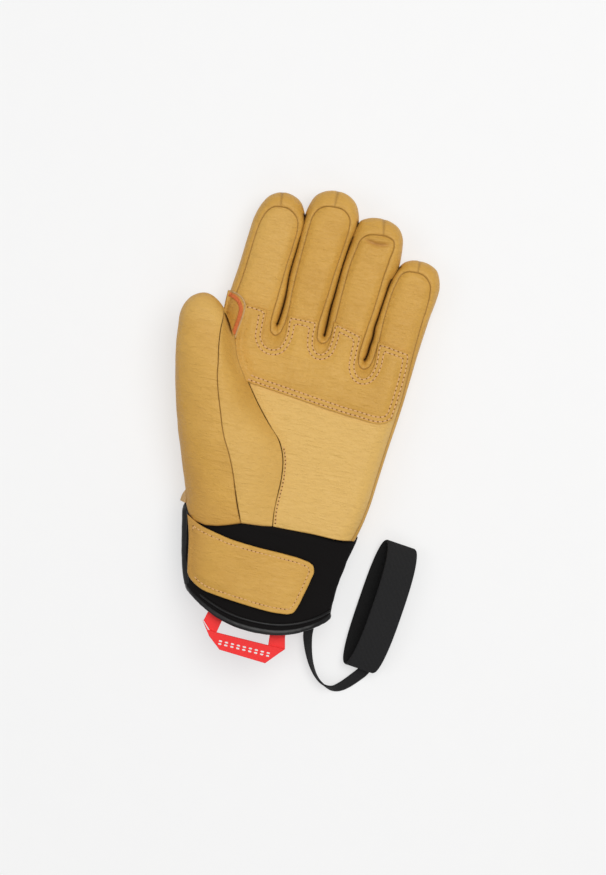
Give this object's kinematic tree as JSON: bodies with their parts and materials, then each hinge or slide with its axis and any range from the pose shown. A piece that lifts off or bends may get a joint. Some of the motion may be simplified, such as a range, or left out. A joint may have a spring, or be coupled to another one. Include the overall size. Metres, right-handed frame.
{
  "type": "ski glove",
  "caption": "Leather ski glove for the left hand, shown from the palm: bending lined fingers, reinforced palm, wrist strap, pull loop and elastic wrist leash.",
  "frame": {"origin": "on the flat back of the hand that the glove rests on, under the middle of the palm", "axes": "+X across the palm towards the little finger, +Y towards the fingertips, +Z out of the palm"},
  "size_m": [0.1716, 0.3029, 0.0469],
  "materials": {
    "leather": "smooth goat leather, satin",
    "leather_patch": "smooth goat leather, satin, paler",
    "cuff_fabric": "matt knitted softshell",
    "binding": "glossy coated tape",
    "lining_fleece": "brushed fleece",
    "red_webbing": "woven webbing",
    "elastic_webbing": "woven elastic",
    "hook_tape": "moulded hook tape"
  },
  "bodies": {
    "hand": {"palm_leather": "leather", "palm_patch": "leather_patch", "back_leather": "leather", "index_side_patch": "leather", "palm_lining": "lining_fleece", "back_lining": "lining_fleece", "crotch_gusset_index_middle": "leather", "crotch_gusset_middle_ring": "leather", "crotch_gusset_ring_little": "leather", "thumb_root_inner": "leather", "thumb_root_outer": "leather", "cuff_palm_panel": "cuff_fabric", "cuff_back_panel": "cuff_fabric", "cuff_hem_binding": "binding"},
    "index_base": {"index_base_front": "leather", "index_base_back": "leather", "index_base_wall_left": "leather", "index_base_wall_right": "leather", "index_base_lining": "lining_fleece"},
    "index_tip": {"index_tip_front": "leather", "index_tip_back": "leather", "index_tip_gusset": "leather", "index_tip_lining": "lining_fleece"},
    "middle_base": {"middle_base_front": "leather", "middle_base_back": "leather", "middle_base_wall_left": "leather", "middle_base_wall_right": "leather", "middle_base_lining": "lining_fleece"},
    "middle_tip": {"middle_tip_front": "leather", "middle_tip_back": "leather", "middle_tip_gusset": "leather", "middle_tip_lining": "lining_fleece"},
    "ring_base": {"ring_base_front": "leather", "ring_base_back": "leather", "ring_base_wall_left": "leather", "ring_base_wall_right": "leather", "ring_base_lining": "lining_fleece"},
    "ring_tip": {"ring_tip_front": "leather", "ring_tip_back": "leather", "ring_tip_gusset": "leather", "ring_tip_lining": "lining_fleece"},
    "little_base": {"little_base_front": "leather", "little_base_back": "leather", "little_base_wall_left": "leather", "little_base_wall_right": "leather", "little_base_lining": "lining_fleece"},
    "little_tip": {"little_tip_front": "leather", "little_tip_back": "leather", "little_tip_gusset": "leather", "little_tip_lining": "lining_fleece"},
    "thumb_base": {"thumb_base_inner": "leather", "thumb_base_outer": "leather", "thumb_base_lining": "lining_fleece"},
    "thumb_tip": {"thumb_tip_shell": "leather", "thumb_tip_lining": "lining_fleece"},
    "strap": {"wrist_strap": "leather_patch", "strap_hook_tape": "hook_tape"},
    "pull_loop": {"pull_loop": "red_webbing"},
    "leash": {"leash_tape": "elastic_webbing", "wrist_loop": "elastic_webbing"}
  },
  "joints": [
    {"name": "index_base_bend", "type": "hinge", "parent": "hand", "child": "index_base", "pos_m": [-0.043, 0.075, 0.0268], "axis": [1, 0, 0], "range_deg": [0, 70], "stiffness_Nm_per_rad": 0.03},
    {"name": "index_tip_bend", "type": "hinge", "parent": "index_base", "child": "index_tip", "pos_m": [-0.04079, 0.108, 0.0256], "axis": [1, 0, 0], "range_deg": [0, 80], "stiffness_Nm_per_rad": 0.03},
    {"name": "middle_base_bend", "type": "hinge", "parent": "hand", "child": "middle_base", "pos_m": [-0.0116, 0.069, 0.0268], "axis": [1, 0, 0], "range_deg": [0, 70], "stiffness_Nm_per_rad": 0.03},
    {"name": "middle_tip_bend", "type": "hinge", "parent": "middle_base", "child": "middle_tip", "pos_m": [-0.00908, 0.109, 0.0256], "axis": [1, 0, 0], "range_deg": [0, 80], "stiffness_Nm_per_rad": 0.03},
    {"name": "ring_base_bend", "type": "hinge", "parent": "hand", "child": "ring_base", "pos_m": [0.0172, 0.0705, 0.0268], "axis": [1, 0, 0], "range_deg": [0, 70], "stiffness_Nm_per_rad": 0.03},
    {"name": "ring_tip_bend", "type": "hinge", "parent": "ring_base", "child": "ring_tip", "pos_m": [0.02055, 0.104, 0.0256], "axis": [1, 0, 0], "range_deg": [0, 80], "stiffness_Nm_per_rad": 0.03},
    {"name": "little_base_bend", "type": "hinge", "parent": "hand", "child": "little_base", "pos_m": [0.0466, 0.0635, 0.0268], "axis": [1, 0, 0], "range_deg": [0, 70], "stiffness_Nm_per_rad": 0.03},
    {"name": "little_tip_bend", "type": "hinge", "parent": "little_base", "child": "little_tip", "pos_m": [0.04938, 0.09, 0.0256], "axis": [1, 0, 0], "range_deg": [0, 80], "stiffness_Nm_per_rad": 0.03},
    {"name": "thumb_base_bend", "type": "hinge", "parent": "hand", "child": "thumb_base", "pos_m": [-0.06, 0.022, 0.0476], "axis": [0.9, 0.4359, 0], "range_deg": [0, 35], "stiffness_Nm_per_rad": 0.05},
    {"name": "thumb_tip_bend", "type": "hinge", "parent": "thumb_base", "child": "thumb_tip", "pos_m": [-0.06896, 0.047, 0.04832], "axis": [1, 0, 0], "range_deg": [0, 50], "stiffness_Nm_per_rad": 0.03},
    {"name": "strap_open", "type": "hinge", "parent": "hand", "child": "strap", "pos_m": [-0.0538, -0.0837, 0.0293], "axis": [0.1598, -0.9872, 0], "range_deg": [0, 120]},
    {"name": "pull_loop_swing", "type": "hinge", "parent": "hand", "child": "pull_loop", "pos_m": [-0.007, -0.122, 0.0312], "axis": [-1, 0, 0], "range_deg": [-10, 40], "stiffness_Nm_per_rad": 0.01},
    {"name": "leash_swing", "type": "hinge", "parent": "hand", "child": "leash", "pos_m": [0.031, -0.1202, 0.0044], "axis": [0, 0, 1], "range_deg": [-50, 4]}
  ]
}
